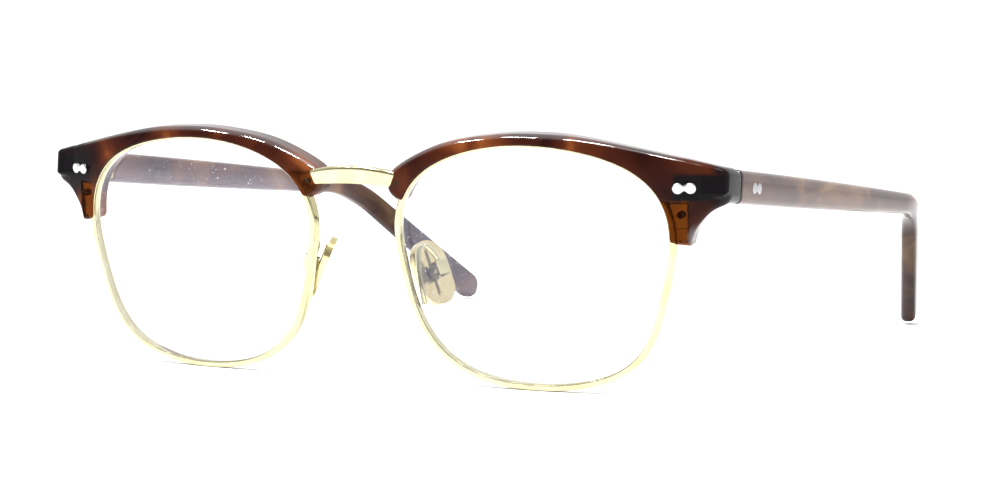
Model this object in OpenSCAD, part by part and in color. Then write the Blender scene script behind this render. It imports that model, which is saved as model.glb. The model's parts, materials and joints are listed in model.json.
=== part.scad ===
// Half-rim (browline) eyeglasses, standing on a table with the temples open.
// Millimetres. +X is the wearer's left, +Y runs back along the temples, +Z is up.
// The origin is under the middle of the glasses, on the surface they stand on.
// Most pieces are drawn in the front's own frame (mid-bridge, lens centre height)
// for the wearer's left, and mirrored for the right.

/* [Lenses and rims] */
// Width of a lens opening
lens_w = 50; // [48:0.5:51]
// Height of a lens opening
lens_h = 42; // [40:0.5:43]
// Shortest gap between the two lens openings
lens_gap = 19.1; // [18.5:0.1:20]
// Radius of the sphere that the lens faces follow
base_r = 130; // [120:5:150]
// Turn of each lens about the vertical, degrees
wrap = 4.5; // [4:0.25:5]
// Height of the rim wire, seen from the front
rim_h = 1.1; // [0.9:0.1:1.3]
// Depth of the rim wire, front to back
rim_depth = 1.9; // [1.7:0.1:2.1]
// Thickness of the lenses
lens_t = 1.8; // [1.6:0.1:2]

/* [Brows] */
// Thickness of the brow pieces, front to back
brow_t = 4.4; // [4.2:0.1:4.6]
// Distance from the brow's front face back to the rim
lip = 0.4; // [0.3:0.05:0.6]
// Outer width across the end pieces
end_w = 138.6; // [137.6:0.2:139.4]

/* [Bridge] */
// Height of the bridge strip at the middle
bridge_h = 3.2; // [2.8:0.1:3.4]
// Thickness of the bridge strip, front to back
bridge_t = 1.5; // [1.3:0.1:1.6]

/* [Temples] */
// Length of the straight part of a temple
straight = 90; // [80:1:94]
// Length of the temple tip behind the bend
tip = 37; // [33:1:40]
// Drop of the tip below the line of the temple, degrees
tip_drop = 31; // [26:1:34]
// Inward turn of the tip, degrees
tip_in = 17; // [14:1:20]
// Height of the temple at the hinge
temple_h = 5.9; // [5.4:0.1:6.2]
// Thickness of the temple
temple_t = 4; // [3.8:0.1:4]
// Fall of the temple below the square to the front, degrees
fall = 11.9; // [11:0.1:13]

/* [Nose pads] */
// Length of a nose pad
pad_l = 12; // [11:0.5:13]
// Width of a nose pad
pad_w = 7.2; // [6.8:0.2:8]

/* [Hidden] */

// Colours
tortoise = [0.30, 0.11, 0.06];
gold = [0.93, 0.88, 0.62];
silver = [0.80, 0.80, 0.80];
clear = [0.90, 0.95, 0.98, 0.35];

// Stand: how far the front leans forward, and where the table is
lean = 7.18;
lift = 21.645;
shift_y = -73.2;

// Lens placement: centre of a lens from the middle of the bridge
lens_x = lens_gap / 2 + lens_w / 2;

// Clearances: between fixed pieces, and around a turning pin
fit_gap = 0.03;
run_gap = 0.05;

// Depths behind the reference surface, which is a sphere through the lens centre
brow_front = -0.1;
rim_front = brow_front + lip;
rim_back = rim_front + rim_depth;
lens_front = rim_front + 0.05;
lens_back = lens_front + lens_t;
bevel_mid = (rim_front + rim_back) / 2;

// Control points of the lens opening, in half widths and half heights from its centre,
// counted round from the outer side. The outline is the closed cubic spline they define.
LENS = [
    [1.06, 0.38], [0.80, 0.88], [-0.14, 1.07], [-0.86, 0.81], [-1.04, 0.36],
    [-0.96, -0.02], [-0.90, -0.50], [-0.52, -1.05], [0.76, -1.00], [0.94, -0.21]];

// Points on the brow's edge: round the nasal tip, over the lens, to the end piece
BROW_TOP = [
    [-23.5, 10.6], [-25.9, 11.2], [-27.5, 13], [-26.2, 16.5], [-16.9, 21],
    [-6, 22.9], [4, 23], [13.4, 22], [27, 19.4], [36, 17.2]];
// Points on the brow's edge: under the end piece and down its leg
BROW_LEG = [
    [36, 11.5], [34.1, 10.7], [32.1, 9.7], [30.4, 8], [29.2, 6.1], [28.6, 4]];

// Hinge: pin place in the front's frame, barrel and pin radii, knuckles and plates
pin = [63.4, 13.5, 13.1];
barrel_r = 1.2;
screw_r = 0.6;
knuckle = 1.0;
knuckle_gap = 0.06;
knuckles = 5;
hinge_len = knuckles * knuckle + (knuckles - 1) * knuckle_gap;
plate_h = 5.2;

// End piece: inner side wall, measured across from the middle
end_x = end_w / 2;
wall_x = end_x - temple_t - 0.3;
joint_gap = 0.1;
// Rise of the end piece's top towards the middle, degrees
top_slope = 11.3;

// Rivet heads: two round lobes joined by a waist
lobe_r = 0.95;
lobe_x = 1.1;
waist_h = 1.1;
rivet_pin_r = 0.45;

// Small screws
shank_r = 0.6;
head_r = 0.95;
head_h = 0.5;

// Nose pads: centre, turn about the vertical, and lean of the pad
pad_c = [11.9, 8, -3.1];
pad_turn = 66.5;
pad_lean = -25.4;
pad_t = 1.2;
pivot_back = 1.6;
tongue_w = 1.0;
ear_t = 0.6;
box_h = 2.6;
wire_r = 0.5;

// ---------- outlines ----------

// Uniform cubic B-spline: one point of the closed curve on control points p
function bs(p, i, f) =
    let (n = len(p), a = p[i % n], b = p[(i + 1) % n], c = p[(i + 2) % n], d = p[(i + 3) % n])
    (pow(1 - f, 3) * a + (3 * pow(f, 3) - 6 * f * f + 4) * b
        + (1 + 3 * f + 3 * f * f - 3 * pow(f, 3)) * c + pow(f, 3) * d) / 6;
function closed_spline(p, steps) =
    [for (i = [0:len(p) - 1], s = [0:steps - 1]) bs(p, i, s / steps)];

// Catmull-Rom curve through points p
function at(p, i) = p[max(0, min(len(p) - 1, i))];
function cr(a, b, c, d, f) =
    0.5 * (2 * b + (c - a) * f + (2 * a - 5 * b + 4 * c - d) * f * f
        + (3 * b - a - 3 * c + d) * pow(f, 3));
function through(p, steps) = concat(
    [for (i = [0:len(p) - 2], s = [0:steps - 1])
        cr(at(p, i - 1), p[i], p[i + 1], at(p, i + 2), s / steps)],
    [p[len(p) - 1]]);

// Outward offset of a closed, anticlockwise outline
function unit(v) = v / norm(v);
function grow(p, d) =
    let (n = len(p))
    [for (i = [0:n - 1])
        let (t = unit(p[(i + 1) % n] - p[(i + n - 1) % n])) p[i] + d * [t[1], -t[0]]];

lens_points = [for (p = LENS) [p[0] * lens_w / 2, p[1] * lens_h / 2]];
opening = closed_spline(lens_points, 7);
brow_sx = lens_w / 50;
brow_sz = lens_h / 42;
brow_edge = concat(through(BROW_TOP, 5), through(BROW_LEG, 4));
brow_outline = [for (p = brow_edge) [p[0] * brow_sx, p[1] * brow_sz]];

// ---------- frames and helpers ----------

// From the front's frame to the standing frame
module stand() translate([0, shift_y, lift]) rotate([lean, 0, 0]) children();
// The wearer's right is the mirror image of the left
module right() mirror([1, 0, 0]) children();
// From a lens's own frame (across, back, up) to the front's frame
module at_lens() translate([lens_x, 0, 0]) rotate([0, 0, wrap]) children();
// From the hinge's frame (pin axis up, temple along +Y) to the front's frame
module at_hinge() translate(pin) rotate([-fall, 0, 0]) children();

// A 2-D outline in (across, up), extruded from depth y0 back to y1
module slab(y0, y1) translate([0, y1, 0]) rotate([90, 0, 0]) linear_extrude(y1 - y0) children();
// The space between two depths behind the reference sphere
module shell(d0, d1) {
    intersection() {
        translate([0, base_r, 0]) sphere(r = base_r - d0, $fn = 240);
        difference() {
            translate([-60, -20, -45]) cube([120, 50, 90]);
            translate([0, base_r, 0]) sphere(r = base_r - d1, $fn = 240);
        }
    }
}
// A lens-shaped layer: the opening grown by d, between depths d0 and d1
module layer(d, d0, d1) {
    intersection() {
        slab(-3, 20) polygon(grow(opening, d));
        shell(d0, d1);
    }
}
module rod(r, l) cylinder(r = r, h = l, $fn = 32);
// A rod along +Y from the local origin
module rod_y(r, l) rotate([-90, 0, 0]) rod(r, l);

// Rivet head outline
module peanut(grow_by = 0) {
    for (s = [-1, 1]) translate([s * lobe_x, 0]) circle(r = lobe_r + grow_by, $fn = 32);
    square([2 * lobe_x, waist_h + 2 * grow_by], center = true);
}

// ---------- rims, lenses and bridge ----------

split_z = 7;
split = 0.12;

module rim() {
    color(gold) at_lens() difference() {
        layer(rim_h, rim_front, rim_back);
        slab(-5, 22) polygon(opening);
        layer(0.4, bevel_mid - 0.3, bevel_mid + 0.3);
        translate([20, -5, split_z]) cube([12, 30, split]);
    }
}

module lens() {
    color(clear) at_lens() union() {
        layer(-fit_gap, lens_front, lens_back);
        layer(0.35, bevel_mid - 0.25, bevel_mid + 0.25);
    }
}

bridge_top = 16.9;
bridge_top_r = 36;
bridge_low_r = 64;
bridge_y = 0.8;
bridge_bend_r = 64;
lug = [9.4, 13.8];
lug_r = 1.5;

module bridge_outline(g = 0) {
    intersection() {
        translate([-14, 10]) square([28, 10]);
        difference() {
            translate([0, bridge_top - bridge_top_r]) circle(r = bridge_top_r + g, $fn = 180);
            translate([0, bridge_top - bridge_h - bridge_low_r])
                circle(r = bridge_low_r - g, $fn = 240);
        }
    }
    for (s = [-1, 1]) translate([s * lug[0], lug[1]]) circle(r = lug_r + g, $fn = 48);
}

// The bridge bends back towards the rims: a curved plate of radius bridge_bend_r
module bridge_space(y0, y1, g = 0) {
    intersection() {
        slab(-3, 12) bridge_outline(g);
        translate([0, bridge_bend_r, 0]) difference() {
            translate([0, 0, 5]) cylinder(r = bridge_bend_r - y0, h = 20, $fn = 240);
            cylinder(r = bridge_bend_r - y1, h = 60, $fn = 240);
        }
    }
}

// Where the bridge's lugs are behind the middle of its front face
lug_y = bridge_y + pow(lug[0], 2) / (2 * bridge_bend_r);

module bridge() {
    color(gold) difference() {
        bridge_space(bridge_y, bridge_y + bridge_t);
        at_lens() slab(-5, 22) polygon(grow(opening, rim_h + fit_gap));
        right() at_lens() slab(-5, 22) polygon(grow(opening, rim_h + fit_gap));
        for (s = [-1, 1]) translate([s * lug[0], -2, lug[1]]) rod_y(shank_r + fit_gap, 12);
    }
}

// ---------- closing block and screws ----------

block_u = 27.2;
block_y0 = 3.8;
block_y1 = 6;
block_z0 = 5;
block_z1 = 11.2;
block_out = 28.3;
clamp_z = 9.4;
closing_top = 8.5;

module block_box(g = 0) {
    translate([24, block_y0 - g, block_z0 - g])
        cube([block_out + g - 24, block_y1 - block_y0 + 2 * g, block_z1 - block_z0 + 2 * g]);
}

// Two gold blocks brazed to the ends of the split rim
module closing_block() {
    color(gold) at_lens() difference() {
        block_box();
        slab(-5, 22) polygon(grow(opening, rim_h + fit_gap));
        translate([20, -5, split_z]) cube([12, 30, split]);
        translate([block_u, (block_y0 + block_y1) / 2, 0]) rod(shank_r + fit_gap, closing_top + 0.1);
        translate([block_u, 0, clamp_z]) rod_y(shank_r + fit_gap, 12);
    }
}

// Upright screw that pulls the rim closed on the lens
module closing_screw() {
    color(silver) at_lens() translate([block_u, (block_y0 + block_y1) / 2, block_z0]) {
        rod(shank_r, closing_top - block_z0);
        difference() {
            translate([0, 0, -head_h - 0.02]) rod(head_r, head_h + 0.02);
            translate([-1, -0.12, -head_h - 0.1]) cube([2, 0.24, 0.3]);
        }
    }
}

// A screw that enters towards the front: shank, and a slotted head behind it
module small_screw(l) {
    rod_y(shank_r, l + 0.02);
    translate([0, l, 0]) difference() {
        rod_y(head_r, head_h);
        translate([-1, head_h - 0.2, -0.12]) cube([2, 0.3, 0.24]);
    }
}

// The two screws that hold a brow: through the bridge's lug and through the closing block
lug_screw_l = bridge_t + 0.6;
leg_screw_l = block_y1 - block_y0 + 0.6;
module brow_screws() {
    color(silver) {
        translate([lug[0], lug_y - 0.4, lug[1]]) small_screw(lug_screw_l);
        at_lens() translate([block_u, block_y0 - 0.6 + 0.02, clamp_z]) small_screw(leg_screw_l);
    }
}

// ---------- brows ----------

// The end piece's side, in (back, up) from the pin: it narrows to the joint with the temple
module end_piece() {
    h = temple_h / 2;
    at_hinge() translate([wall_x - pin[0], 0, 0]) rotate([90, 0, 90])
        linear_extrude(end_x - wall_x)
            polygon([[0, -h], [0, h], [-5.6, 3.2], [-5.6, -2.8]]);
}

module rivet_place() translate([62.3, 5.35, 14]) rotate([0, 0, 16.5]) children();
rivet_sink = 0.5;

module brow() {
    color(tortoise) difference() {
        union() {
            at_lens() intersection() {
                slab(-3, 20) polygon(brow_outline);
                shell(brow_front, brow_front + brow_t);
            }
            end_piece();
        }
        // Lens opening, groove for the rim, and pocket for the closing block
        at_lens() slab(-5, 22) polygon(opening);
        at_lens() layer(rim_h + fit_gap, rim_front - fit_gap, rim_back + fit_gap);
        at_lens() block_box(run_gap);
        at_lens() translate([24, block_y0 - run_gap, 3]) cube([block_out + run_gap - 24, 6, 8.25]);
        at_lens() translate([block_u, block_y0 - 0.8, clamp_z]) rod_y(shank_r + fit_gap, 3);
        // Slot for the bridge's end, open to the rear, and its screw
        bridge_space(bridge_y - 0.05, bridge_y + 8, 0.05);
        translate([lug[0], lug_y - 0.65, lug[1]]) rod_y(shank_r + fit_gap, 3);
        // Seat of the hinge plate
        at_hinge() translate([-3.2, -5.5, -plate_h / 2 - 0.05]) cube([4.75, 5.5, plate_h + 0.1]);
        // Rivet recess and holes
        rivet_place() slab(-2, rivet_sink) peanut(fit_gap);
        rivet_pins(fit_gap);
        // Everything outside the end piece's side wall, and above its sloping top
        translate([end_x, -5, 0]) cube([10, 40, 30]);
        at_hinge() translate([temple_out, -14, temple_h / 2]) rotate([0, top_slope, 0])
            translate([-30, 0, 0]) cube([32, 14.2, 8]);
    }
}

module rivet_pins(g = 0) {
    for (s = [-1, 1])
        translate([62.3 + s * lobe_x, 5.3, 14]) rod_y(rivet_pin_r + g, 3.8);
}

module rivet_front() {
    color(silver) {
        rivet_place() slab(-0.08, rivet_sink - 0.02) peanut();
        intersection() {
            rivet_pins();
            rivet_place() translate([-5, 0.2, -5]) cube([10, 12, 10]);
        }
    }
}

// ---------- hinges ----------

function knuckle_z(k) = -hinge_len / 2 + k * (knuckle + knuckle_gap);

module pin_bore() translate([0, 0, -6]) rod(screw_r + run_gap, 12);

module hinge_front() {
    color(gold) difference() {
        at_hinge() difference() {
            union() {
                translate([-3.1, -5.45, -plate_h / 2]) cube([4.5, 1.3, plate_h]);
                for (k = [0, 2, 4]) translate([0, 0, knuckle_z(k)]) {
                    rod(barrel_r, knuckle);
                    translate([-0.7, -5, 0]) cube([1.4, 5, knuckle]);
                }
            }
            pin_bore();
        }
        rivet_pins(fit_gap);
    }
}

module hinge_screw() {
    color(silver) at_hinge() {
        translate([0, 0, -hinge_len / 2]) rod(screw_r, hinge_len + 0.05);
        translate([0, 0, hinge_len / 2 + 0.03]) difference() {
            rod(barrel_r - 0.1, head_h);
            translate([-2, -0.14, head_h - 0.22]) cube([4, 0.28, 0.4]);
        }
    }
}

// Temple in the hinge's frame: inner face at temple_in, outer at temple_out
temple_in = wall_x + 0.3 - pin[0];
temple_out = end_x - pin[0];
htemple_l = 5.6;

module hinge_temple() {
    color(gold) at_hinge() difference() {
        union() {
            translate([temple_in - 0.9, 1.5, -2.2]) cube([0.8, htemple_l - 1.5, 4.4]);
            for (k = [1, 3]) translate([0, 0, knuckle_z(k)]) {
                rod(barrel_r, knuckle);
                translate([0, 0.2, 0]) cube([temple_in - 0.2, 1.9, knuckle]);
            }
            for (s = [-1, 1]) translate([temple_in - 0.1, anchor_y + s * anchor_s, 0])
                rotate([0, 90, 0]) rod(rivet_pin_r, 1.3);
        }
        pin_bore();
    }
}

// Anchor pins inside, rivet lobes outside, both clear of the core wire
anchor_y = 3.7;
anchor_s = 1.6;
trivet_y = 7.2;
trivet_pin_l = 1.2;

module rivet_temple() {
    color(silver) at_temple_outer() {
        intersection() {
            translate([-rivet_sink, 0, 0]) rotate([90, 0, 90]) linear_extrude(rivet_sink + 0.06) peanut();
            translate([-3, -4, -4]) cube([6, 8, 8]);
        }
        for (s = [-1, 1]) translate([-trivet_pin_l, s * lobe_x, 0]) rotate([0, 90, 0])
            rod(rivet_pin_r, trivet_pin_l);
    }
}
module at_temple_outer() at_hinge()
    translate([temple_out - trivet_y * tan(toe), trivet_y, 0]) rotate([0, 0, toe]) children();

// ---------- temples ----------

// Inward slope of the straight part, and the bends behind it
toe = 0.3;
bend_r = 30;
bend_in_r = 45;
tip_h = 6;
neck_h = 4.2;
tip_t = 3.4;
bend_steps = 8;

// Centre line of the side view: straight, a bend, then the tip
function side_mid(s) =
    let (b = bend_r * tip_drop * PI / 180)
    s < straight ? [s, 0]
    : s < straight + b ? let (a = (s - straight) / bend_r * 180 / PI)
        [straight + bend_r * sin(a), -bend_r * (1 - cos(a))]
    : let (r = s - straight - b)
        [straight + bend_r * sin(tip_drop) + r * cos(tip_drop),
         -bend_r * (1 - cos(tip_drop)) - r * sin(tip_drop)];
function side_slope(s) =
    max(0, min(tip_drop, (s - straight) / bend_r * 180 / PI));
bend_l = bend_r * tip_drop * PI / 180;
temple_s = straight + bend_l + tip;
// Half height along the temple: slow taper to the neck, then the paddle
function half_h(s) =
    s < straight ? temple_h / 2 - (temple_h - neck_h) / 2 * pow(s / straight, 2)
    : neck_h / 2 + (tip_h - neck_h) / 2 * pow((s - straight) / (temple_s - straight), 1.2);
side_s = concat([for (i = [0:6]) straight * i / 6],
    [for (i = [1:bend_steps]) straight + bend_l * i / bend_steps],
    [for (i = [1:5]) straight + bend_l + (tip - tip_h / 2 + 1) * i / 5]);
function side_edge(s, k) =
    side_mid(s) + k * half_h(s) * [sin(side_slope(s)), cos(side_slope(s))];
function rev(v) = [for (i = [len(v) - 1:-1:0]) v[i]];

// Round end of the tip
end_s = side_s[len(side_s) - 1];
end_arc = [for (a = [75:-15:-75])
    side_mid(end_s) + half_h(end_s) * [cos(a - tip_drop), sin(a - tip_drop)]];

module temple_side() {
    polygon(concat([for (s = side_s) side_edge(s, 1)], end_arc,
        [for (s = rev(side_s)) side_edge(s, -1)]));
}

// Outer edge of the plan view: toed in a little, then curving inwards
reach = side_mid(temple_s)[0] + tip_h;
plan_bend = straight - 2;
plan_arc = bend_in_r * tip_in * PI / 180;
function plan_out(y) =
    let (x0 = temple_out - y * tan(toe))
    y < plan_bend ? x0
    : y < plan_bend + bend_in_r * sin(tip_in)
        ? x0 - (bend_in_r - sqrt(pow(bend_in_r, 2) - pow(y - plan_bend, 2)))
    : x0 - bend_in_r * (1 - cos(tip_in)) - (y - plan_bend - bend_in_r * sin(tip_in)) * tan(tip_in);
plan_y = concat([0, plan_bend / 2], [for (i = [0:6]) plan_bend + bend_in_r * sin(tip_in) * i / 6], [reach]);
function thick(y) = temple_t - (temple_t - tip_t) * min(1, y / plan_bend);

module temple_plan() {
    polygon(concat([for (y = plan_y) [plan_out(y), y]],
        [for (y = rev(plan_y)) [plan_out(y) - thick(y), y]]));
}

core_r = 0.6;
core_l = straight - 8;
module at_core() translate([temple_out - temple_t / 2, 0, 0]) rotate([0, 0, toe / 2 + 0.1]) children();

module temple() {
    color(tortoise) difference() {
        at_hinge() difference() {
            intersection() {
                translate([-20, 0, 0]) rotate([90, 0, 90]) linear_extrude(40) temple_side();
                translate([0, joint_gap, -60]) linear_extrude(90) temple_plan();
            }
            translate([-1, -1, -6]) cube([12, 1 + joint_gap, 12]);
            at_core() rod_y(core_r + fit_gap, core_l + 0.1);
            for (s = [-1, 1]) translate([temple_in - 1, anchor_y + s * anchor_s, 0])
                rotate([0, 90, 0]) rod(rivet_pin_r + fit_gap, 2.3);
        }
        at_temple_outer() translate([-rivet_sink - 0.02, 0, 0]) rotate([90, 0, 90])
            linear_extrude(2) peanut(fit_gap);
        at_temple_outer() for (s = [-1, 1]) translate([-trivet_pin_l - 0.05, s * lobe_x, 0])
            rotate([0, 90, 0]) rod(rivet_pin_r + fit_gap, 3);
    }
}

module core_wire() {
    color(silver) at_hinge() at_core() translate([0, joint_gap + 0.4, 0])
        rod_y(core_r, core_l - 0.5);
}

// ---------- nose pads ----------

// Pad frame: x across the pad, y towards the nose, z along it
module at_pad() translate(pad_c) rotate([0, 0, pad_turn]) rotate([pad_lean, 0, 0]) children();

module pad_outline() {
    r = pad_w / 2;
    for (s = [-1, 1]) translate([0, s * (pad_l / 2 - r)]) circle(r = r, $fn = 48);
    square([pad_w, pad_l - pad_w], center = true);
}

module nose_pad() {
    color([0.90, 0.84, 0.66]) at_pad() difference() {
        union() {
            slab(0, pad_t) pad_outline();
            translate([-tongue_w / 2, -pivot_back, -0.8]) cube([tongue_w, pivot_back + 0.1, 1.6]);
            translate([-tongue_w / 2, -pivot_back, 0]) rotate([0, 90, 0]) rod(0.8, tongue_w);
        }
        translate([-5, -pivot_back, 0]) rotate([0, 90, 0]) rod(0.35 + run_gap, 10);
    }
}

// Wire brazed to the back of the rim: up, over and down to the box, in the front's frame
ARM = [
    [12.4, 3.15, -8], [11.9, 3.3, -5], [11, 4.2, -0.8], [10.6, 5.2, 1.2],
    [11.3, 6.2, 2], [12.4, 6.8, 0.9], [13.2, 7, -0.3], [13.5, 7.1, -1.1]];
// Direction that the wire's route never follows
arm_side = [0.85, -0.5, 0];
arm_sides = 12;

// A round bar swept along a route of points
module sweep_bar(route, r) {
    n = len(route);
    rings = [for (i = [0:n - 1])
        let (t = unit(at(route, i + 1) - at(route, i - 1)),
            v = unit(cross(t, arm_side)), u = cross(t, v))
        for (k = [0:arm_sides - 1])
            let (a = 360 * k / arm_sides) route[i] + r * (cos(a) * u + sin(a) * v)];
    sides = [for (i = [0:n - 2], k = [0:arm_sides - 1])
        let (j = (k + 1) % arm_sides)
        [i * arm_sides + k, i * arm_sides + j, (i + 1) * arm_sides + j, (i + 1) * arm_sides + k]];
    caps = [[for (k = [arm_sides - 1:-1:0]) k], [for (k = [0:arm_sides - 1]) (n - 1) * arm_sides + k]];
    polyhedron(rings, concat(sides, caps));
}

module pad_arm() {
    color(gold) {
        sweep_bar(through(ARM, 4), wire_r);
        at_pad() difference() {
            translate([-tongue_w / 2 - 0.1 - ear_t, -pivot_back - 1.7, -box_h / 2])
                cube([tongue_w + 0.2 + 2 * ear_t, 2.7, box_h]);
            translate([-tongue_w / 2 - 0.1, -pivot_back - 0.95, -3]) cube([tongue_w + 0.2, 4, 6]);
            translate([-5, -pivot_back, 0]) rotate([0, 90, 0]) rod(0.35 + run_gap, 10);
        }
    }
}

module pad_screw() {
    color(silver) at_pad() translate([-tongue_w / 2 - 0.1 - ear_t, -pivot_back, 0]) rotate([0, 90, 0]) {
        rod(0.35, tongue_w + 0.2 + 2 * ear_t);
        translate([0, 0, -0.35]) rod(0.65, 0.35);
    }
}

// ---------- assembly ----------

stand() bridge();
stand() rim();  // rim_left
stand() right() rim();  // rim_right
stand() lens();  // lens_left
stand() right() lens();  // lens_right
stand() brow();  // brow_left
stand() right() brow();  // brow_right
stand() closing_block();  // closing_block_left
stand() right() closing_block();  // closing_block_right
stand() closing_screw();  // closing_screw_left
stand() right() closing_screw();  // closing_screw_right
stand() brow_screws();  // brow_screws_left
stand() right() brow_screws();  // brow_screws_right
stand() hinge_front();  // hinge_front_left
stand() right() hinge_front();  // hinge_front_right
stand() hinge_screw();  // hinge_screw_left
stand() right() hinge_screw();  // hinge_screw_right
stand() rivet_front();  // rivet_front_left
stand() right() rivet_front();  // rivet_front_right
stand() pad_arm();  // pad_arm_left
stand() right() pad_arm();  // pad_arm_right
stand() pad_screw();  // pad_screw_left
stand() right() pad_screw();  // pad_screw_right
stand() nose_pad();  // nose_pad_left
stand() right() nose_pad();  // nose_pad_right
stand() temple();  // temple_left
stand() right() temple();  // temple_right
stand() core_wire();  // core_wire_left
stand() right() core_wire();  // core_wire_right
stand() hinge_temple();  // hinge_temple_left
stand() right() hinge_temple();  // hinge_temple_right
stand() rivet_temple();  // rivet_temple_left
stand() right() rivet_temple();  // rivet_temple_right
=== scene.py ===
"""Half-rim (browline) eyeglasses: the looks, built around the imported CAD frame.

The pieces are worked out in the front's own frame, in millimetres: +X to the wearer's left,
+Y back and +Z up from the middle of the bridge at lens-centre height. to_world() stands them
on the table, in metres, where the CAD has them. The right side mirrors the left.
"""
import json
import math

import bpy
import numpy as np
from mathutils import Matrix, Vector


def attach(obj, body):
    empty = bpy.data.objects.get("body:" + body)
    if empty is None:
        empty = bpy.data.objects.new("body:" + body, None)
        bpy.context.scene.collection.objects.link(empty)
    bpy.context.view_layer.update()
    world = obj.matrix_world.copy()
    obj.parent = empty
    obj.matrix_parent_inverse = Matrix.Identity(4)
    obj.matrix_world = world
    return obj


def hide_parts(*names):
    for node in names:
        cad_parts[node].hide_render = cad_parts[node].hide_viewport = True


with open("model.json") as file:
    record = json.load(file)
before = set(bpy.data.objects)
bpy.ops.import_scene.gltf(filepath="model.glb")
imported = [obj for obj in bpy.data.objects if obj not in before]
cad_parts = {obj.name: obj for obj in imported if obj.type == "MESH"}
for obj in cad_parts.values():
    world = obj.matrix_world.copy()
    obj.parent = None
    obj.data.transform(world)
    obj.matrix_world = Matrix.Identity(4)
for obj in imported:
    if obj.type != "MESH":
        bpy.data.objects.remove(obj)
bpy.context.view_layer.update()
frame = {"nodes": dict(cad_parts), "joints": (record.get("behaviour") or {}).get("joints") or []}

# ---------------------------------------------------------------- sizes, in millimetres

MM = 0.001
SIDES = {"left": 1, "right": -1}

# Hinge: its pin in the front's frame, and the temple's fall below the square to the front
PIN = np.array([63.4, 13.5, 13.1])
FALL = 11.9

# Lenses: centre, half sizes of the opening, turn, and radius of the sphere they follow
LENS_X, HALF_W, HALF_H = 34.55, 25.0, 21.0
WRAP, BASE_R = 4.5, 130.0
LENS = [(1.06, 0.38), (0.80, 0.88), (-0.14, 1.07), (-0.86, 0.81), (-1.04, 0.36),
        (-0.96, -0.02), (-0.90, -0.50), (-0.52, -1.05), (0.76, -1.00), (0.94, -0.21)]

# Depths behind that sphere
BROW_FRONT, BROW_BACK = -0.1, 4.3
RIM_SHOW = 0.2               # the brows' opening stands back this far, so the rim shows
RIM_FRONT, RIM_BACK, RIM_H = 0.3, 2.2, 1.1
LENS_FRONT, LENS_BACK = 0.35, 2.15

# Brow outline: round the nasal tip, over the lens to the end piece, under it, down the leg
BROW_TOP = [(-23.5, 10.6), (-25.9, 11.2), (-27.5, 13), (-26.2, 16.5), (-16.9, 21),
            (-6, 22.9), (4, 23), (13.4, 22), (27, 19.4), (36.4, 17.1)]
BROW_LEG = [(36.4, 11.5), (34.1, 10.7), (32.1, 9.7), (30.4, 8), (29.2, 6.1), (28.6, 4)]
END_X, WALL_X, TOP_SLOPE = 69.3, 65.0, 0.2

# Brow edges: radii at the front, back and opening; then the end piece's reach ahead of the
# hinge, the slope under it, its edge radii, and the fillet between it and the plate
PLATE_R, PLATE_BACK_R, OPENING_R = 1.2, 1.0, 0.3
END_REACH, END_UNDER = 6.5, 0.17
END_R, END_FRONT_R, END_TOP_R, END_SIDE_R, END_FILLET = 0.6, 0.3, 1.0, 1.2, 1.2
JOINT_R = 0.35               # both faces of the joint between brow and temple
BROW_BOX, BROW_STEP = ((5.8, -0.9, 3.2), (70, 14.5, 24.5)), 0.25

# Marks on the brows, as boxes with soft edges: low corner, high corner, softness. The clear
# patches over the closing blocks are in the lens's frame, the others in the front's.
DARK_PLATE = (60.6, -9, 12.1), (80, 30, 15.9), 0.7
# Painted shade: the end pieces' outer sides are blended towards black in their colour, for the shade
# that falls across them.
PAINTED_SHADE_END = {"left": ((67.5, -9, 10), (80, 30, 20), 1.5),
            "right": ((61.5, -9, 11.5), (80, 30, 20), 5.0)}
DIM_END = (62, -9, 8), (80, 30, 30), 3
CLEAR_BLOCK = {"left": ((23.5, -9, 3), (28.3, 9, 11.4), 0.5),
               "right": ((25.2, -9, 3), (28.1, 9, 11.4), 0.4)}
CLEAR_TIP = {"left": ((5, -9, 9), (12.5, 9, 11.2), 0.7),
             "right": ((5, -9, 9), (12.3, 9, 15.4), 0.8)}
TIP_SHARE = {"left": 0.6, "right": 0.85}
PAINTED_SHADE_SHARE, WALL_DIM, WALL_SOFT = 0.9, 0.88, 0.4
FACING_FROM, FACING_SPAN = 0.70, 0.18

# Temple: straight run, tip, its drop and inward turn, heights and thicknesses
STRAIGHT, TIP = 90.0, 37.0
TIP_DROP, TIP_IN, TOE = 31.0, 17.0, 0.3
BEND_R, BEND_IN_R = 30.0, 45.0
TEMPLE_H, NECK_H, TIP_H = 5.9, 4.2, 6.0
TEMPLE_T, TIP_T, TEMPLE_R = 4.0, 3.4, 1.15
JOINT_GAP = 0.1
TIP_MARK_AT, TIP_MARK_OVER = 2.0, 14.0
TEMPLE_DIM, TIP_DIM, TIP_DARK, END_DARK_OVER = 0.66, 0.3, 0.6, 0.3

# Rivet heads: lobe radius, half spacing, waist; how proud, how crowned and how deep they are;
# and the place and turn of the front one
LOBE_R, LOBE_X, WAIST_H, WAIST_FILLET = 0.95, 1.1, 0.85, 0.35
RIVET_PROUD, RIVET_CROWN, RIVET_DEEP = 0.1, 0.015, 0.6
RIVET_BOX, RIVET_STEP = ((-2.4, -0.6, -1.4), (2.4, 1.0, 1.4)), 0.08
FRONT_RIVET, FRONT_RIVET_TURN = (62.3, 5.35, 14.0), 16.5
TEMPLE_RIVET_Y = 7.2

# Bridge strip: height and top at the middle, its arcs, and its bend back towards the rims
BRIDGE_TOP, BRIDGE_H, BRIDGE_T, BRIDGE_HALF = 16.9, 3.2, 1.5, 11.2
BRIDGE_TOP_R, BRIDGE_LOW_R, BRIDGE_BEND_R, BRIDGE_Y = 36.0, 64.0, 64.0, 0.8

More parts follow.
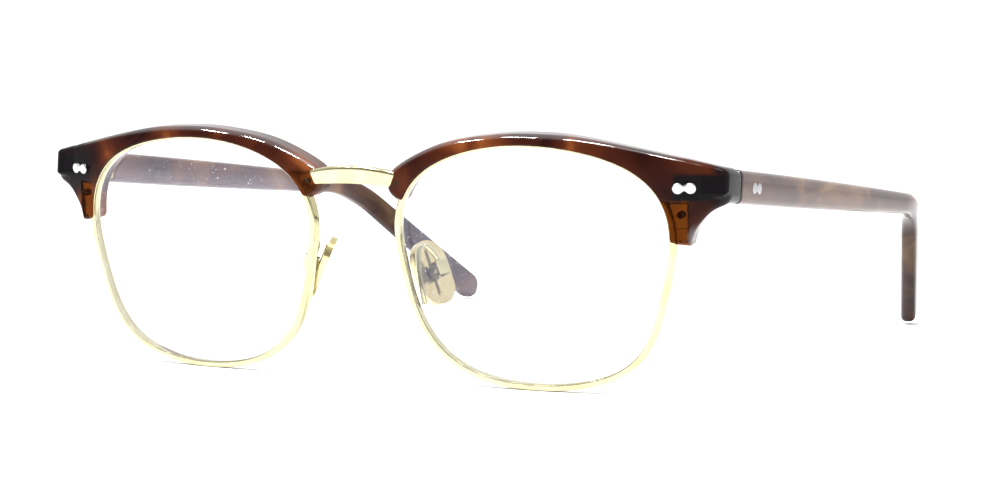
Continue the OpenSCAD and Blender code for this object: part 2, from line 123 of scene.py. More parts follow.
# Nose pads: centre, turn, lean, size; and the wire from the rim over to the pad's box
PAD_C, PAD_TURN, PAD_LEAN = (11.9, 8.0, -3.1), 66.5, -25.4
PAD_L, PAD_W, PAD_T, PAD_BACK, PAD_CROWN = 12.0, 7.2, 1.2, 0.25, 0.012
RIB_HALF_W, RIB_HALF_L, RIB_BACK, RIB_FRONT = 0.45, 4.4, 0.45, 0.8
PAD_BOX, PAD_STEP = ((-4.4, -0.9, -6.6), (4.4, 1.8, 6.6)), 0.16
ARM = [(12.4, 3.15, -8.0), (11.9, 3.3, -5.0), (11.0, 4.2, -0.8), (10.6, 5.2, 1.2),
       (11.3, 6.2, 2.0), (12.4, 6.8, 0.9), (13.2, 7.0, -0.3), (13.5, 7.1, -1.1)]
ARM_R, ARM_WIDE, ARM_SLIM = 0.5, 1.25, 0.85
ARM_SIDE = np.array([0.85, -0.5, 0.0])

# Light: a tent of two strengths and where it changes, and lamps (name, place in metres, size
# in metres, watts)
TENT, TENT_DARK = 1.35, 0.5
TENT_FROM, TENT_TO = -0.9, -0.2
TENT_COLOUR = (0.985, 0.99, 1.0)
LAMPS = [("key", (0.25, -0.35, 0.9), (0.5, 0.5), 2.0)]
LAMPS += [("strip_%d" % i, (-0.42 + 0.2 * i, -0.35, 0.6), (0.13, 0.02), 2.6) for i in range(4)]
LAMP_AIM = (0, 0, 0.02)
TABLE_HALF = 3.0

# Camera, in the front's frame: where it looks, from which way, and how far
AZIMUTH, ELEVATION, ROLL = 27.98, 10.86, -3.04
DISTANCE, TARGET = 454.1, (29.67, 0.0, 3.19)
LENS_MM, SENSOR_MM = 94.9, 36.0

# Colours, linear: dark acetate, which also paints the shade on the end pieces' sides, and clear
# acetate, then cloud stops from dark to light
BLACK, AMBER = (0.004, 0.0035, 0.004), (0.40, 0.21, 0.09)
BROW_STOPS = [(0.34, (0.009, 0.0022, 0.002)), (0.50, (0.026, 0.006, 0.003)),
              (0.62, (0.054, 0.0125, 0.004)), (0.76, (0.165, 0.046, 0.011))]
TEMPLE_STOPS = [(0.34, (0.022, 0.010, 0.010)), (0.50, (0.055, 0.024, 0.017)),
                (0.60, (0.095, 0.045, 0.025)), (0.74, (0.220, 0.122, 0.058))]


# ---------------------------------------------------------------- frames

def turn(axis, degrees):
    """Rotation matrix about one axis."""
    return np.array(Matrix.Rotation(math.radians(degrees), 3, axis))


joint = next(j for j in frame["joints"] if j["name"] == "temple_fold_left")
LEAN = FALL - math.degrees(math.atan2(joint["axis"][1], joint["axis"][2]))
STAND = turn("X", LEAN)
SHIFT = np.array(joint["pos_m"]) / MM - STAND @ PIN


def to_world(points, side=1):
    """Front-frame millimetres to the row frame in metres, on one side."""
    return (np.asarray(points, float) @ STAND.T + SHIFT) * MM * (side, 1, 1)


def from_lens(points):
    """A lens's own frame (across, back, up) to the front's frame."""
    return np.asarray(points, float) @ turn("Z", WRAP).T + (LENS_X, 0, 0)


def to_lens(points):
    """The front's frame to a lens's own."""
    return (points - (LENS_X, 0, 0)) @ turn("Z", WRAP)


def from_hinge(points):
    """The hinge's frame (pin axis up, temple along +Y) to the front's frame."""
    return np.asarray(points, float) @ turn("X", -FALL).T + PIN


def to_hinge(points):
    """The front's frame to the hinge's."""
    return (points - PIN) @ turn("X", -FALL)


PAD_FRAME = turn("Z", PAD_TURN) @ turn("X", PAD_LEAN)


def from_pad(points):
    """The pad's frame (across, towards the nose, along) to the front's frame."""
    return np.asarray(points, float) @ PAD_FRAME.T + PAD_C


def sphere_y(u, z, depth=0.0):
    """How far back the lens sphere is, in a lens's frame, at one depth behind it."""
    return BASE_R - np.sqrt((BASE_R - depth) ** 2 - np.square(u) - np.square(z))


# ---------------------------------------------------------------- curves

def closed_spline(points, steps):
    """Uniform cubic B-spline on control points, as a closed polyline."""
    p = np.asarray(points, float)
    f = np.arange(steps)[:, None] / steps
    weights = ((1 - f) ** 3, 3 * f ** 3 - 6 * f ** 2 + 4, 1 + 3 * f + 3 * f ** 2 - 3 * f ** 3, f ** 3)
    spans = [sum(w * p[(i + k) % len(p)] for k, w in enumerate(weights)) / 6 for i in range(len(p))]
    return np.concatenate(spans)


def through(points, steps):
    """Catmull-Rom curve through points, as an open polyline."""
    p = np.asarray(points, float)
    p = np.concatenate([p[:1], p, p[-1:]])
    f = np.arange(steps)[:, None] / steps
    spans = [0.5 * (2 * b + (c - a) * f + (2 * a - 5 * b + 4 * c - d) * f ** 2
                    + (3 * b - a - 3 * c + d) * f ** 3)
             for a, b, c, d in zip(p, p[1:], p[2:], p[3:])]
    return np.concatenate(spans + [p[-1:]])


def outward(loop):
    """Outward normals of a closed, anticlockwise outline."""
    t = np.roll(loop, -1, 0) - np.roll(loop, 1, 0)
    n = np.stack([t[:, 1], -t[:, 0]], 1)
    return n / np.linalg.norm(n, axis=1, keepdims=True)


OPENING = closed_spline(np.array(LENS) * (HALF_W, HALF_H), 36)
BROW = np.concatenate([through(BROW_TOP, 12), through(BROW_LEG, 10)])


# ---------------------------------------------------------------- distances and solids

class Outline:
    """Signed distance to a closed outline, negative inside, read from a fine grid."""

    def __init__(self, loop, margin=8.0, step=0.1):
        self.low, self.step = loop.min(0) - margin, step
        count = np.ceil((loop.max(0) + margin - self.low) / step).astype(int) + 1
        u, v = np.meshgrid(*(lo + np.arange(n) * step for lo, n in zip(self.low, count)), indexing="ij")
        near = np.full(u.shape, np.inf)
        odd = np.zeros(u.shape, bool)
        for a, b in zip(loop, np.roll(loop, -1, 0)):
            e = b - a
            t = np.clip(((u - a[0]) * e[0] + (v - a[1]) * e[1]) / max(e @ e, 1e-12), 0, 1)
            near = np.minimum(near, np.hypot(u - a[0] - t * e[0], v - a[1] - t * e[1]))
            if a[1] != b[1]:
                crosses = ((a[1] > v) != (b[1] > v)) & (u < a[0] + (v - a[1]) * e[0] / e[1])
                odd ^= crosses
        self.grid = np.where(odd, -near, near)

    def __call__(self, u, v):
        i = [np.clip((x - lo) / self.step, 0, n - 1.001)
             for x, lo, n in zip((u, v), self.low, self.grid.shape)]
        (a, b), (p, q) = [x.astype(int) for x in i], [x % 1 for x in i]
        g = self.grid
        return ((1 - p) * ((1 - q) * g[a, b] + q * g[a, b + 1])
                + p * ((1 - q) * g[a + 1, b] + q * g[a + 1, b + 1]))


def both(a, b, r=0.2):
    """The part inside a and b, with its edge rounded to radius r."""
    x, y = a + r, b + r
    return np.minimum(np.maximum(x, y), 0) + np.hypot(np.maximum(x, 0), np.maximum(y, 0)) - r


def either(a, b, r=0.5):
    """The part inside a or b, with the corner between them filled to about r."""
    h = np.clip(0.5 + 0.5 * (b - a) / r, 0, 1)
    return b + (a - b) * h - r * h * (1 - h)


def cut_cells(value, low, high, step):
    """For each cell of a grid that the surface cuts, the middle of its crossings."""
    axes = [np.arange(a, b + step, step) for a, b in zip(low, high)]
    shape = tuple(len(a) for a in axes)
    lattice = np.stack(np.meshgrid(*axes, indexing="ij"), -1)
    v = value(lattice.reshape(-1, 3)).reshape(shape)
    cells = tuple(n - 1 for n in shape)
    total, count = np.zeros(cells + (3,)), np.zeros(cells)
    crossings = []
    for k in range(3):
        a, b = np.take(v, range(cells[k]), k), np.take(v, range(1, shape[k]), k)
        cross = (a < 0) != (b < 0)
        crossings.append((cross, a < 0))
        t = np.where(cross, a / np.where(cross, a - b, 1), 0)
        at = np.take(lattice, range(cells[k]), k).copy()
        at[..., k] += t * step
        i, j = [m for m in range(3) if m != k]
        for di in (0, 1):
            for dj in (0, 1):
                cut = [slice(None)] * 3
                cut[i], cut[j] = slice(di, di + cells[i]), slice(dj, dj + cells[j])
                cut = tuple(cut)
                total += np.where(cross[cut][..., None], at[cut], 0)
                count += cross[cut]
    used = count > 0
    number = np.full(cells, -1)
    number[used] = np.arange(used.sum())
    return total[used] / count[used][:, None], number, crossings


def cell_quads(number, crossings):
    """A quad between the four cells round each grid edge that the surface crosses."""
    cells = number.shape
    quads = []
    for k, (cross, inside) in enumerate(crossings):
        i, j = (k + 1) % 3, (k + 2) % 3
        where = np.argwhere(cross)
        where = where[(where[:, i] > 0) & (where[:, j] > 0)
                      & (where[:, i] < cells[i]) & (where[:, j] < cells[j])]
        flip = ~inside[tuple(where.T)]
        ring = []
        for di, dj in ((1, 1), (0, 1), (0, 0), (1, 0)):
            c = where.copy()
            c[:, i] -= di
            c[:, j] -= dj
            ring.append(number[tuple(c.T)])
        quad = np.stack(ring, 1)
        quad[flip] = quad[flip][:, ::-1]
        quads.append(quad)
    return np.concatenate(quads)


def surface_net(value, box, step, settle=4):
    """Points and quads where value(points) is zero in a box, and the outward normals."""
    points, number, crossings = cut_cells(value, *box, step)
    for _ in range(settle):
        slope = gradient(value, points)
        points = points - (value(points) / np.maximum((slope ** 2).sum(1), 0.3))[:, None] * slope
    normals = gradient(value, points)
    normals /= np.linalg.norm(normals, axis=1, keepdims=True)
    return points, cell_quads(number, crossings), normals


def gradient(value, points, h=0.06):
    """Slope of value at each point, by central differences over h millimetres."""
    out = np.empty_like(points)
    for k in range(3):
        d = np.zeros(3)
        d[k] = h
        out[:, k] = (value(points + d) - value(points - d)) / (2 * h)
    return out


def swept(sections, closed=False):
    """Quads that join equal rings of points; open sweeps end in a fan to the middle."""
    sections = np.asarray(sections, float)
    n, m = sections.shape[:2]
    points = sections.reshape(-1, 3)
    faces = []
    for i in range(n if closed else n - 1):
        a, b = i * m, (i + 1) % n * m
        faces += [(a + k, a + (k + 1) % m, b + (k + 1) % m, b + k) for k in range(m)]
    if not closed:
        points = np.concatenate([points, sections[0].mean(0)[None], sections[-1].mean(0)[None]])
        first, last = n * m, n * m + 1
        faces += [(first, (k + 1) % m, k) for k in range(m)]
        faces += [(last, (n - 1) * m + k, (n - 1) * m + (k + 1) % m) for k in range(m)]
    return points, faces


def rounded_box(w, h, r, n=5):
    """Ring of (across, up) offsets of a rectangle w by h with corners of radius r."""
    r = min(r, w / 2 - 1e-3, h / 2 - 1e-3)
    ring = []
    for q, (sx, sy) in enumerate(((1, 1), (-1, 1), (-1, -1), (1, -1))):
        for a in np.radians(np.linspace(90 * q, 90 * q + 90, n)):
            ring.append((sx * (w / 2 - r) + r * math.cos(a), sy * (h / 2 - r) + r * math.sin(a)))
    return np.array(ring)


# ---------------------------------------------------------------- pieces

def piece(name, points, faces, material, side=1, normals=None, marks=None):
    """A smooth mesh from front-frame points, on one side, with a material."""
    if side < 0:
        faces = [tuple(f)[::-1] for f in np.asarray(faces, object)]
    mesh = bpy.data.meshes.new(name)
    faces = [tuple(int(i) for i in f) for f in faces]
    mesh.from_pydata([tuple(p) for p in to_world(points, side)], [], faces)
    mesh.validate()
    mesh.shade_smooth()
    for key, values in (marks or {}).items():
        mark = mesh.attributes.new(key, "FLOAT", "POINT")
        mark.data.foreach_set("value", np.asarray(values, np.float32))
    if normals is not None:
        turned = (normals @ STAND.T) * (side, 1, 1)
        mesh.normals_split_custom_set_from_vertices([tuple(v) for v in turned])
    mesh.materials.append(material)
    obj = bpy.data.objects.new(name, mesh)
    bpy.context.scene.collection.objects.link(obj)
    return obj


def place(obj, body, slot, *nodes):
    """The piece rides on a body and stands for CAD nodes; slot is not used."""
    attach(obj, body)
    if nodes:
        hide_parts(*nodes)


def peanut(u, v):
    """Distance to a rivet head's outline: two lobes with a waist between them."""
    lobes = [np.hypot(u - s * LOBE_X, v) - LOBE_R for s in (-1, 1)]
    bar = np.maximum(np.abs(u) - LOBE_X, np.abs(v) - WAIST_H / 2)
    return either(np.minimum(*lobes), bar, WAIST_FILLET)


opening = Outline(OPENING)
outline = Outline(BROW)


def brow_value(p):
    """Distance to a brow: the curved plate over the lens and the end piece behind it."""
    lens = to_lens(p)
    u, z = lens[:, 0], lens[:, 2]
    depth = BASE_R - np.sqrt(u ** 2 + (lens[:, 1] - BASE_R) ** 2 + z ** 2)
    edge = outline(u, z)
    hole = RIM_SHOW - opening(u, z)
    plate = both(BROW_FRONT - depth, edge, PLATE_R)
    plate = both(plate, depth - BROW_BACK, PLATE_BACK_R)
    plate = both(plate, hole, OPENING_R)
    h = to_hinge(p)
    top = h[:, 2] - TEMPLE_H / 2 - TOP_SLOPE * (END_X - p[:, 0])
    low = -h[:, 2] - TEMPLE_H / 2 - END_UNDER * h[:, 1]
    end = both(low, -END_REACH - h[:, 1], END_FRONT_R)
    end = both(both(top, WALL_X - p[:, 0], END_R), end, END_R)
    body = both(either(plate, end, END_FILLET), top, END_TOP_R)
    body = both(body, p[:, 0] - END_X, END_SIDE_R)
    return both(body, h[:, 1], JOINT_R)


def box_mark(p, low, high, soft):
    """1 inside a box, falling to 0 over soft millimetres outside it."""
    out = np.maximum(np.asarray(low) - p, p - np.asarray(high))
    return np.clip(1 - np.linalg.norm(np.maximum(out, 0), axis=1) / soft, 0, 1)


def brow_marks(points, normals):
    """For each side, where a brow is clear, dark (on the end piece's side this is painted shade), and
    dim (mirrors little).
    """
    lens = to_lens(points)
    dim = np.clip((-normals[:, 1] - FACING_FROM) / FACING_SPAN, 0, 1)
    wall = np.clip(2 - np.abs(opening(lens[:, 0], lens[:, 2])) / WALL_SOFT, 0, 1)
    dim = np.maximum(dim, WALL_DIM * wall)
    ahead = np.clip(-to_hinge(points)[:, 1] / END_REACH, 0, 1)
    dim = np.maximum(dim, box_mark(points, *DIM_END) * (0.76 + 0.22 * ahead))
    marks = {}
    for name in SIDES:
        # The end box is painted shade: it darkens the colour of the end piece's side towards black.
        end, tip = box_mark(points, *PAINTED_SHADE_END[name]), box_mark(points, *CLEAR_TIP[name])
        marks[name] = {
            "clear": np.maximum(box_mark(lens, *CLEAR_BLOCK[name]), TIP_SHARE[name] * tip),
            "dark": np.maximum(box_mark(points, *DARK_PLATE), PAINTED_SHADE_SHARE * end), "dim": dim}
    return marks


def add_brows(tortoise):
    """The two acetate brows, with their end pieces."""
    points, quads, normals = surface_net(brow_value, BROW_BOX, BROW_STEP)
    marks = brow_marks(points, normals)
    for name, side in SIDES.items():
        obj = piece("brow_shell_" + name, points, quads, tortoise, side, normals, marks[name])
        place(obj, "front", "tortoise", "brow_" + name)


def add_rims(gold):
    """The metal rim round each lens, on the lens's sphere."""
    normal = outward(OPENING)
    ring = rounded_box(RIM_H + 0.08, RIM_BACK - RIM_FRONT, 0.35)
    sections = []
    for p, n in zip(OPENING, normal):
        reach, depth = ring[:, 0] + RIM_H / 2 - 0.04, ring[:, 1] + (RIM_FRONT + RIM_BACK) / 2
        uz = p + reach[:, None] * n
        sections.append(np.stack([uz[:, 0], sphere_y(uz[:, 0], uz[:, 1], depth), uz[:, 1]], 1))
    points, faces = swept(sections, closed=True)
    for name, side in SIDES.items():
        obj = piece("rim_wire_" + name, from_lens(points), faces, gold, side)
        place(obj, "front", "gold", "rim_" + name)


def add_lenses(glass):
    """Each lens, as rings that grow over its front and shrink over its back."""
    rings = np.concatenate([np.linspace(0.02, 0.96, 16), [1.0]])
    sections = []
    layers = [(f, LENS_FRONT) for f in rings] + [(f, LENS_BACK) for f in rings[::-1]]
    for f, depth in layers:
        uz = OPENING * f
        sections.append(np.stack([uz[:, 0], sphere_y(uz[:, 0], uz[:, 1], depth), uz[:, 1]], 1))
    points, faces = swept(sections)
    for name, side in SIDES.items():
        obj = piece("lens_clear_" + name, from_lens(points), faces, glass, side)
        place(obj, "front", "lens", "lens_" + name)


def add_bridge(gold):
    """A flat arched strip that bends back into the rims, with softened edges."""
    sections = []
    ring = rounded_box(1.0, 1.0, 0.22, 4)
    for x in np.linspace(-BRIDGE_HALF, BRIDGE_HALF, 57):
        top = BRIDGE_TOP - BRIDGE_TOP_R + math.sqrt(BRIDGE_TOP_R ** 2 - x * x)
        low = BRIDGE_TOP - BRIDGE_H - BRIDGE_LOW_R + math.sqrt(BRIDGE_LOW_R ** 2 - x * x)
        y = BRIDGE_Y + x * x / (2 * BRIDGE_BEND_R)
        sections.append(np.stack([np.full(len(ring), x), y + BRIDGE_T * (ring[:, 0] + 0.5),
                                  (top + low) / 2 + (top - low) * ring[:, 1]], 1))
    obj = piece("bridge_strip", *swept(sections), gold)
    place(obj, "front", "gold", "bridge")


def temple_line(s):
    """Centre of the outer face and side slope at length s, in the hinge's frame."""
    bend = BEND_R * math.radians(TIP_DROP)
    a = min(max(s - STRAIGHT, 0), bend) / BEND_R
    rest = max(s - STRAIGHT - bend, 0)
    y = min(s, STRAIGHT) + BEND_R * math.sin(a) + rest * math.cos(a)
    z = -BEND_R * (1 - math.cos(a)) - rest * math.sin(a)
    start = STRAIGHT - 2
    swing = BEND_IN_R * math.sin(math.radians(TIP_IN))
    x = END_X - PIN[0] - y * math.tan(math.radians(TOE))
    over = min(max(y - start, 0), swing)
    x -= BEND_IN_R - math.sqrt(BEND_IN_R ** 2 - over ** 2)
    x -= max(y - start - swing, 0) * math.tan(math.radians(TIP_IN))
    return np.array([x, y, z]), a


TEMPLE_LENGTH = STRAIGHT + BEND_R * math.radians(TIP_DROP) + TIP


def temple_section(s):
    """Ring of the temple at length s: it narrows to the bend and widens into the tip."""
    point, a = temple_line(s)
    if s < STRAIGHT:
        height = TEMPLE_H - (TEMPLE_H - NECK_H) * (s / STRAIGHT) ** 2
    else:
        along_tip = (s - STRAIGHT) / (TEMPLE_LENGTH - STRAIGHT)
        height = NECK_H + (TIP_H - NECK_H) * along_tip ** 1.2
    thick = TEMPLE_T - (TEMPLE_T - TIP_T) * min(1, s / STRAIGHT)
    start = min(s, JOINT_R)
    inset = JOINT_R - math.sqrt(JOINT_R ** 2 - (JOINT_R - start) ** 2)
    cap = TIP_H / 2
    end = max(s - (TEMPLE_LENGTH - cap), 0) / cap
    close = math.sqrt(max(1 - end ** 2, 0.0004))
    wide = thick * (0.35 + 0.65 * close) - 2 * inset
    ring = rounded_box(wide, height * close - 2 * inset, TEMPLE_R)
    return np.stack([point[0] - thick / 2 + ring[:, 0],
                     point[1] + JOINT_GAP + ring[:, 1] * math.sin(a),
                     point[2] + ring[:, 1] * math.cos(a)], 1)


def add_temples(tortoise):
    """The two temples, dark at the joint and duller towards the tip."""
    cap = TIP_H / 2
    run = np.concatenate([[0, 0.03, 0.1, 0.2, JOINT_R], np.linspace(1, TEMPLE_LENGTH - cap, 150),
                          TEMPLE_LENGTH - cap + cap * np.sin(np.radians(np.linspace(6, 90, 14)))])
    sections = [temple_section(s) for s in run]
    points, faces = swept(sections)
    along = np.concatenate([np.repeat(run, len(sections[0])), [0, TEMPLE_LENGTH]])
    tip = np.clip((along - STRAIGHT - TIP_MARK_AT) / TIP_MARK_OVER, 0, 1)
    joint_end = np.clip(1.5 - along / END_DARK_OVER, 0, 1)
    marks = {"clear": 0 * along, "dark": np.maximum(joint_end, TIP_DARK * tip),
             "dim": TEMPLE_DIM + TIP_DIM * tip}
    for name, side in SIDES.items():
        obj = piece("temple_arm_" + name, from_hinge(points), [f[::-1] for f in faces],
                    tortoise, side, marks=marks)
        place(obj, "temple_" + name, "tortoise", "temple_" + name)


def rivet_value(p):
    """Distance to a rivet head: the outline with a slightly domed face towards -Y."""
    dome = RIVET_PROUD - RIVET_CROWN * (p[:, 0] ** 2 + p[:, 2] ** 2)
    head = both(peanut(p[:, 0], p[:, 2]), -p[:, 1] - dome, 0.15)
    return both(head, p[:, 1] - RIVET_DEEP, 0.1)


def add_rivets(steel):
    """A rivet head on each end piece, and one on each temple's outer face."""
    points, quads, normals = surface_net(rivet_value, RIVET_BOX, RIVET_STEP)
    spin = turn("Z", FRONT_RIVET_TURN)
    for name, side in SIDES.items():
        obj = piece("rivet_head_front_" + name, points @ spin.T + FRONT_RIVET, quads, steel,
                    side, normals @ spin.T)
        place(obj, "front", "steel", "rivet_front_" + name)
    # On the temple the head faces outwards, so its depth runs towards -X
    outer, _ = temple_line(TEMPLE_RIVET_Y)
    spin = turn("Z", 90 + TOE)
    for name, side in SIDES.items():
        local = points @ spin.T + outer + (0, JOINT_GAP, 0)
        obj = piece("rivet_head_temple_" + name, from_hinge(local), quads, steel, side,
                    normals @ spin.T @ turn("X", -FALL).T)
        place(obj, "temple_" + name, "steel", "rivet_temple_" + name)


def pad_value(p):
    """A thin crowned pad: a flat-sided oval, dished on the nose side, with a back rib."""
    u, n, v = p.T
    r = PAD_W / 2
    oval = np.hypot(u, np.maximum(np.abs(v) - (PAD_L / 2 - r), 0)) - r
    crown = PAD_CROWN * (u ** 2 + 0.5 * v ** 2)
    plate = both(both(oval, n - PAD_T + crown, 0.5), PAD_BACK - n - crown, 0.25)
    rib = both(both(np.abs(u) - RIB_HALF_W, -n - RIB_BACK, 0.2),
               both(np.abs(v) - RIB_HALF_L, n - RIB_FRONT, 0.2), 0.3)
    return either(plate, rib, 0.3)


def add_pads(pad_metal):
    """The two nose pads, each on its own rocking body."""
    points, quads, normals = surface_net(pad_value, PAD_BOX, PAD_STEP)
    for name, side in SIDES.items():
        obj = piece("pad_plate_" + name, from_pad(points), quads, pad_metal, side,
                    normals @ PAD_FRAME.T)
        place(obj, "pad_" + name, "pad")


def add_arms(gold):
    """The wire from the rim's back, up and over to the pad's box."""
    route = through(ARM, 10)
    sections = []
    for i, p in enumerate(route):
        t = route[min(i + 1, len(route) - 1)] - route[max(i - 1, 0)]
        t /= np.linalg.norm(t)
        b = np.cross(t, ARM_SIDE)
        b /= np.linalg.norm(b)
        n = np.cross(b, t)
        a = np.radians(np.arange(0, 360, 20))[:, None]
        sections.append(p + ARM_R * (np.cos(a) * n * ARM_WIDE + np.sin(a) * b * ARM_SLIM))
    points, faces = swept(sections)
    for name, side in SIDES.items():
        obj = piece("pad_wire_" + name, points, faces, gold, side)
        place(obj, "front", "gold")


# ---------------------------------------------------------------- materials

def material(name):
    """A new node material, with its nodes, links and main shader."""
    m = bpy.data.materials.new(name)
    m.use_nodes = True
    nodes, links = m.node_tree.nodes, m.node_tree.links
    return m, nodes, links, nodes["Principled BSDF"]


def noise(nodes, links, scale, detail=3.0, stretch=(1, 1, 1), roughness=0.5, distort=0.0):
    """Noise over object space; scale is in features a metre."""
    coords = nodes.new("ShaderNodeTexCoord")
    mapping = nodes.new("ShaderNodeMapping")
    mapping.inputs["Scale"].default_value = stretch
    tex = nodes.new("ShaderNodeTexNoise")
    tex.inputs["Scale"].default_value = scale
    tex.inputs["Detail"].default_value = detail
    tex.inputs["Roughness"].default_value = roughness
    tex.inputs["Distortion"].default_value = distort
    links.new(coords.outputs["Object"], mapping.inputs["Vector"])
    links.new(mapping.outputs["Vector"], tex.inputs["Vector"])
    return tex.outputs["Fac"]


def ramp(nodes, links, source, stops):
    """Colour from a value, through (position, colour) stops."""
    node = nodes.new("ShaderNodeValToRGB")
    elements = node.color_ramp.elements
    while len(elements) < len(stops):
        elements.new(0.5)
    for e, (at, colour) in zip(elements, stops):
        e.position = at
        e.color = (*colour, 1)
    links.new(source, node.inputs["Fac"])
    return node.outputs["Color"]


def mixed(nodes, links, factor, a, b):
    """Colour between a and b; each may be a value or a socket."""
    node = nodes.new("ShaderNodeMix")
    node.data_type = "RGBA"
    for socket, value in ((node.inputs[0], factor), (node.inputs[6], a), (node.inputs[7], b)):
        if isinstance(value, bpy.types.NodeSocket):
            links.new(value, socket)
        else:
            socket.default_value = value
    return node.outputs[2]


def bump(nodes, links, source, shader, strength, distance):
    """Small relief on a shader, from a value."""
    node = nodes.new("ShaderNodeBump")
    node.inputs["Strength"].default_value = strength
    node.inputs["Distance"].default_value = distance
    links.new(source, node.inputs["Height"])
    links.new(node.outputs["Normal"], shader.inputs["Normal"])


def grey(nodes, links, source, low, high):
    """A value of 0 to 1 stretched to low to high."""
    node = nodes.new("ShaderNodeMapRange")
    node.inputs["To Min"].default_value = low
    node.inputs["To Max"].default_value = high
    links.new(source, node.inputs["Value"])
    return node.outputs["Result"]


def attribute(nodes, name):
    """A mark that the mesh carries at its points."""
    node = nodes.new("ShaderNodeAttribute")
    node.attribute_name = name
    return node.outputs["Fac"]


def tortoise_acetate(name, stops, scale, stretch):
    """Polished acetate with amber clouds, which follows the marks clear, dark and dim."""
    m, nodes, links, shader = material(name)
    clouds = noise(nodes, links, scale, 2.0, stretch, 0.45, 0.8)
    body = ramp(nodes, links, clouds, stops)
    # The dark mark blends the colour towards black; on the brows' end pieces this is painted shade.
    body = mixed(nodes, links, attribute(nodes, "dark"), body, (*BLACK, 1))
    links.new(body, shader.inputs["Base Color"])
    links.new(grey(nodes, links, attribute(nodes, "dim"), 0.95, 0.04),
              shader.inputs["Specular IOR Level"])
    polish = grey(nodes, links, noise(nodes, links, 900, 2), 0.03, 0.08)
    links.new(polish, shader.inputs["Roughness"])
    bump(nodes, links, noise(nodes, links, 220, 2), shader, 0.03, 0.0003)
    clear = nodes.new("ShaderNodeBsdfTransparent")
    clear.inputs["Color"].default_value = (*AMBER, 1)
    mix = nodes.new("ShaderNodeMixShader")
    share = grey(nodes, links, attribute(nodes, "clear"), 0.0, 0.85)
    links.new(share, mix.inputs[0])
    links.new(shader.outputs[0], mix.inputs[1])
    links.new(clear.outputs[0], mix.inputs[2])
    links.new(mix.outputs[0], nodes["Material Output"].inputs["Surface"])
    return m


def metal(name, colour, shade, rough):
    """Polished plating, a little cloudy in tone and polish."""
    m, nodes, links, shader = material(name)
    tone = ramp(nodes, links, noise(nodes, links, 260, 3), [(0.3, shade), (0.7, colour)])
    links.new(tone, shader.inputs["Base Color"])
    shader.inputs["Metallic"].default_value = 1.0
    links.new(grey(nodes, links, noise(nodes, links, 1500, 3), rough - 0.05, rough + 0.08),
              shader.inputs["Roughness"])
    bump(nodes, links, noise(nodes, links, 2500, 2), shader, 0.05, 0.0001)
    return m


def lens_plastic():
    """Clear lens: it shows what is behind it, mirrors a little, and holds a trace of dust."""
    m, nodes, links, shader = material("lens_plastic")
    specks = noise(nodes, links, 3200, 1.0)
    dust = ramp(nodes, links, specks, [(0.73, (0, 0, 0)), (0.79, (0.7, 0.7, 0.7))])
    shader.inputs["Base Color"].default_value = (0.9, 0.93, 0.95, 1)
    shader.inputs["Roughness"].default_value = 0.03
    slant = nodes.new("ShaderNodeLayerWeight")
    sharp = nodes.new("ShaderNodeMath")
    sharp.operation = "POWER"
    sharp.inputs[1].default_value = 4.0
    links.new(slant.outputs["Facing"], sharp.inputs[0])
    glossy = nodes.new("ShaderNodeBsdfGlossy")
    glossy.inputs["Roughness"].default_value = 0.02
    glossy.inputs["Color"].default_value = (0.80, 0.80, 1.0, 1)
    clear = nodes.new("ShaderNodeBsdfTransparent")
    clear.inputs["Color"].default_value = (0.985, 0.99, 0.99, 1)
    face = nodes.new("ShaderNodeMixShader")
    links.new(grey(nodes, links, sharp.outputs[0], 0.035, 0.9), face.inputs[0])
    links.new(clear.outputs[0], face.inputs[1])
    links.new(glossy.outputs[0], face.inputs[2])
    mix = nodes.new("ShaderNodeMixShader")
    links.new(dust, mix.inputs[0])
    links.new(face.outputs[0], mix.inputs[1])
    links.new(shader.outputs[0], mix.inputs[2])
    links.new(mix.outputs[0], nodes["Material Output"].inputs["Surface"])
    return m


def table_white():
    """Plain pale table, very slightly uneven in tone."""
    m, nodes, links, shader = material("table_white")
    tone = ramp(nodes, links, noise(nodes, links, 4, 3),
                [(0.3, (0.90, 0.90, 0.905)), (0.7, (0.93, 0.93, 0.93))])
    links.new(tone, shader.inputs["Base Color"])
    shader.inputs["Roughness"].default_value = 0.9
    return m


# ---------------------------------------------------------------- stage

def add_table():
    """The table top that the glasses stand on."""
    mesh = bpy.data.meshes.new("table_top")
    r = TABLE_HALF
    mesh.from_pydata([(-r, -r, 0), (r, -r, 0), (r, r, 0), (-r, r, 0)], [], [(0, 1, 2, 3)])
    mesh.materials.append(table_white())
    table = bpy.data.objects.new("table_top", mesh)
    bpy.context.scene.collection.objects.link(table)


def add_lamps():
    """One broad lamp above, and a row of strips that draw the glints along the brows."""
    for name, place_m, (long, wide), power in LAMPS:
        light = bpy.data.lights.new(name, "AREA")
        light.shape = "RECTANGLE"
        light.size, light.size_y = long, wide
        light.energy = power
        lamp = bpy.data.objects.new(name, light)
        lamp.location = place_m
        way = Vector(LAMP_AIM) - lamp.location
        lamp.rotation_euler = way.to_track_quat("-Z", "Y").to_euler()
        bpy.context.scene.collection.objects.link(lamp)


def add_world():
    """A white tent that is darker in front of the glasses, where the camera stands."""
    world = bpy.data.worlds.new("tent")
    world.use_nodes = True
    nodes, links = world.node_tree.nodes, world.node_tree.links
    coords, split = nodes.new("ShaderNodeTexCoord"), nodes.new("ShaderNodeSeparateXYZ")
    links.new(coords.outputs["Generated"], split.inputs[0])
    fade = nodes.new("ShaderNodeMapRange")
    fade.interpolation_type = "SMOOTHSTEP"
    for key, value in (("From Min", TENT_FROM), ("From Max", TENT_TO),
                       ("To Min", TENT_DARK), ("To Max", TENT)):
        fade.inputs[key].default_value = value
    links.new(split.outputs["Y"], fade.inputs["Value"])
    links.new(fade.outputs["Result"], nodes["Background"].inputs["Strength"])
    nodes["Background"].inputs["Color"].default_value = (*TENT_COLOUR, 1)
    bpy.context.scene.world = world


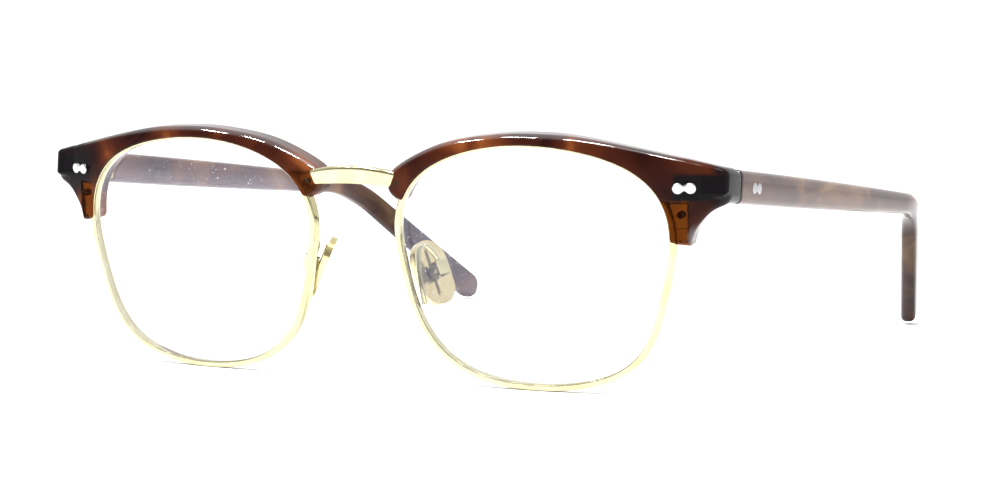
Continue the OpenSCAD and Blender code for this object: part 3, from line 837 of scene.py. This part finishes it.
def add_camera():
    """The camera at the photo's angle."""
    az, el = math.radians(AZIMUTH), math.radians(ELEVATION)
    back = np.array([math.sin(az) * math.cos(el), -math.cos(az) * math.cos(el), math.sin(el)])
    right = np.array([math.cos(az), math.sin(az), 0.0])
    up = np.cross(back, right)
    roll = math.radians(ROLL)
    right, up = (right * math.cos(roll) + up * math.sin(roll),
                 up * math.cos(roll) - right * math.sin(roll))
    axes = STAND @ np.stack([right, up, back], 1)
    data = bpy.data.cameras.new("camera")
    data.lens, data.sensor_width = LENS_MM, SENSOR_MM
    camera = bpy.data.objects.new("camera", data)
    matrix = Matrix(axes.tolist()).to_4x4()
    matrix.translation = Vector(to_world(np.array(TARGET) + back * DISTANCE))
    camera.matrix_world = matrix
    bpy.context.scene.collection.objects.link(camera)
    bpy.context.scene.camera = camera


# ---------------------------------------------------------------- build

brow_acetate = tortoise_acetate("tortoise_brow", BROW_STOPS, 75, (1.0, 0.75, 1.3))
temple_acetate = tortoise_acetate("tortoise_temple", TEMPLE_STOPS, 85, (1.0, 0.6, 1.2))
gold = metal("pale_gold", (0.50, 0.465, 0.29), (0.43, 0.39, 0.215), 0.09)
pad_metal = metal("pad_gold", (0.56, 0.49, 0.27), (0.48, 0.40, 0.20), 0.18)
steel = metal("polished_steel", (0.42, 0.42, 0.43), (0.37, 0.37, 0.385), 0.12)
burnished = metal("burnished_steel", (0.035, 0.02, 0.012), (0.02, 0.012, 0.008), 0.35)
glass = lens_plastic()

bpy.context.scene.view_settings.view_transform = "Standard"
add_camera()
add_table()
add_world()
add_lamps()
add_brows(brow_acetate)
add_rims(gold)
add_lenses(glass)
add_bridge(gold)
add_temples(temple_acetate)
add_rivets(steel)
add_pads(pad_metal)
add_arms(gold)

CAD_LOOKS = {"closing_block": gold, "closing_screw": steel, "brow_screws": burnished,
             "hinge_front": gold, "hinge_screw": steel, "hinge_temple": gold,
             "pad_arm": gold, "pad_screw": steel, "nose_pad": pad_metal, "core_wire": steel}
for name, obj in frame["nodes"].items():
    look = CAD_LOOKS.get(name.rsplit("_", 1)[0])
    if look:
        obj.data.materials.clear()
        obj.data.materials.append(look)
